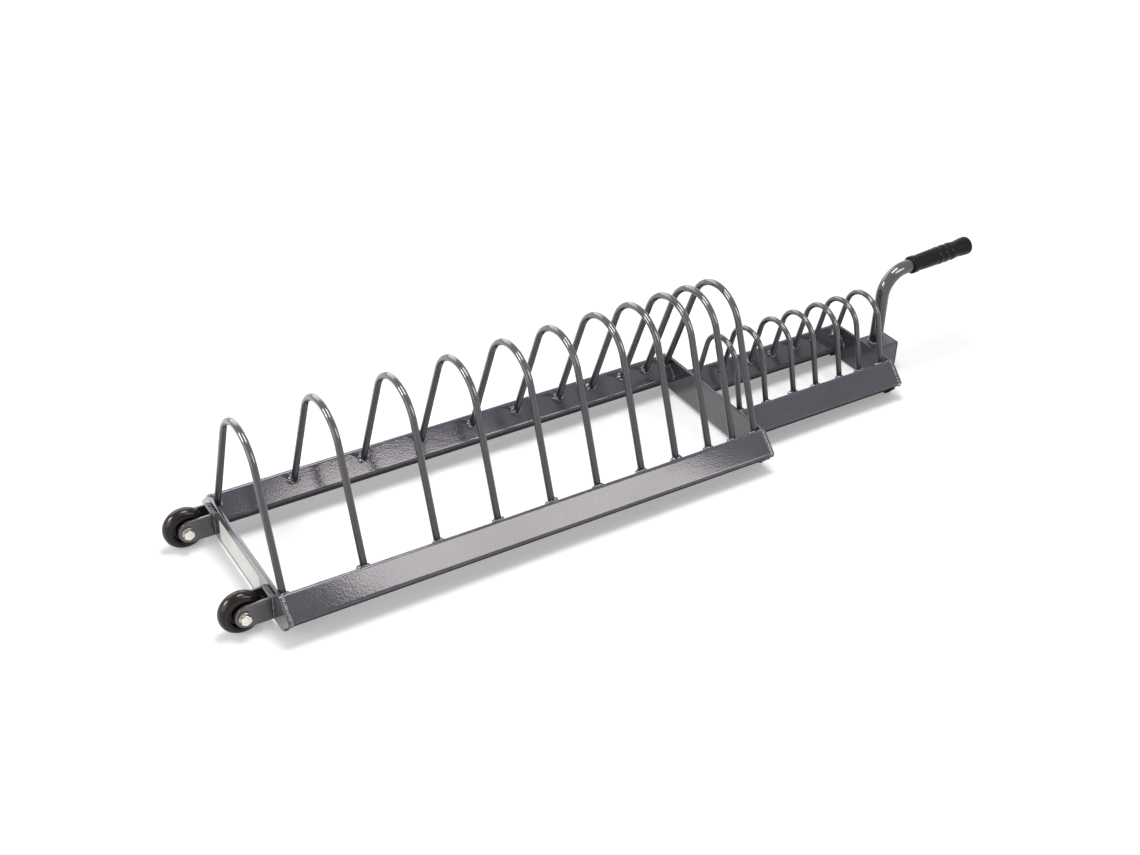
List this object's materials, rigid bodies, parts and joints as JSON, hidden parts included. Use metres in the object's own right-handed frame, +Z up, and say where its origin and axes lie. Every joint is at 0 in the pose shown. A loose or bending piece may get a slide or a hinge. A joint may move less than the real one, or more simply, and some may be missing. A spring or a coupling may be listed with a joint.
{
  "type": "wheeled weight plate rack",
  "caption": "Long low floor rack on two wheels, with hoops of steel rod dividing slots for large and small round plates and a bent lifting handle with a rubber grip.",
  "frame": {"origin": "centre of the bounding box on the floor", "axes": "+X along the cart from the wheels to the grip, +Y across it to the side whose wheel stands out furthest, +Z up from the floor"},
  "size_m": [1.6002, 0.365, 0.3049],
  "materials": {
    "frame_paint": "metallic graphite powder coat, slight orange peel",
    "black_rubber": "matte moulded rubber",
    "tyre_rubber": "smooth hard rubber with a soft gloss",
    "black_nylon": "moulded, satin",
    "zinc": "bright zinc plate",
    "bearing_steel": "ground and polished"
  },
  "bodies": {
    "cart": {"long_rail_front": "frame_paint", "long_rail_rear": "frame_paint", "short_rail_front": "frame_paint", "short_rail_rear": "frame_paint", "crossbar_wheel_end": "frame_paint", "crossbar_middle": "frame_paint", "crossbar_handle_end": "frame_paint", "large_hoop_01": "frame_paint", "large_hoop_02": "frame_paint", "large_hoop_03": "frame_paint", "large_hoop_04": "frame_paint", "large_hoop_05": "frame_paint", "large_hoop_06": "frame_paint", "large_hoop_07": "frame_paint", "large_hoop_08": "frame_paint", "large_hoop_09": "frame_paint", "large_hoop_10": "frame_paint", "large_hoop_11": "frame_paint", "small_hoop_1": "frame_paint", "small_hoop_2": "frame_paint", "small_hoop_3": "frame_paint", "small_hoop_4": "frame_paint", "small_hoop_5": "frame_paint", "small_hoop_6": "frame_paint", "small_hoop_7": "frame_paint", "handle_stub": "frame_paint", "handle_stub_cap": "frame_paint", "handle_tube": "frame_paint", "handle_grip": "black_rubber", "wheel_bracket_front": "frame_paint", "wheel_bracket_rear": "frame_paint", "axle_bolt_front": "zinc", "axle_bolt_rear": "zinc", "axle_nut_front": "zinc", "axle_nut_rear": "zinc", "washer_head_front": "zinc", "washer_head_rear": "zinc", "washer_nut_front": "zinc", "washer_nut_rear": "zinc", "spacer_head_front": "zinc", "spacer_head_rear": "zinc", "spacer_nut_front": "zinc", "spacer_nut_rear": "zinc", "axle_sleeve_front": "zinc", "axle_sleeve_rear": "zinc", "rubber_shoe_front": "black_rubber", "rubber_shoe_rear": "black_rubber"},
    "front_wheel": {"tyre_front": "tyre_rubber", "rim_front": "black_nylon", "bearing_head_front": "bearing_steel", "bearing_nut_front": "bearing_steel"},
    "rear_wheel": {"tyre_rear": "tyre_rubber", "rim_rear": "black_nylon", "bearing_head_rear": "bearing_steel", "bearing_nut_rear": "bearing_steel"}
  },
  "joints": [
    {"name": "front_wheel_spin", "type": "hinge", "parent": "cart", "child": "front_wheel", "pos_m": [-0.76256, -0.1052, 0.0375], "axis": [0, 1, 0], "continuous": true},
    {"name": "rear_wheel_spin", "type": "hinge", "parent": "cart", "child": "rear_wheel", "pos_m": [-0.76256, 0.1405, 0.0375], "axis": [0, 1, 0], "continuous": true}
  ]
}
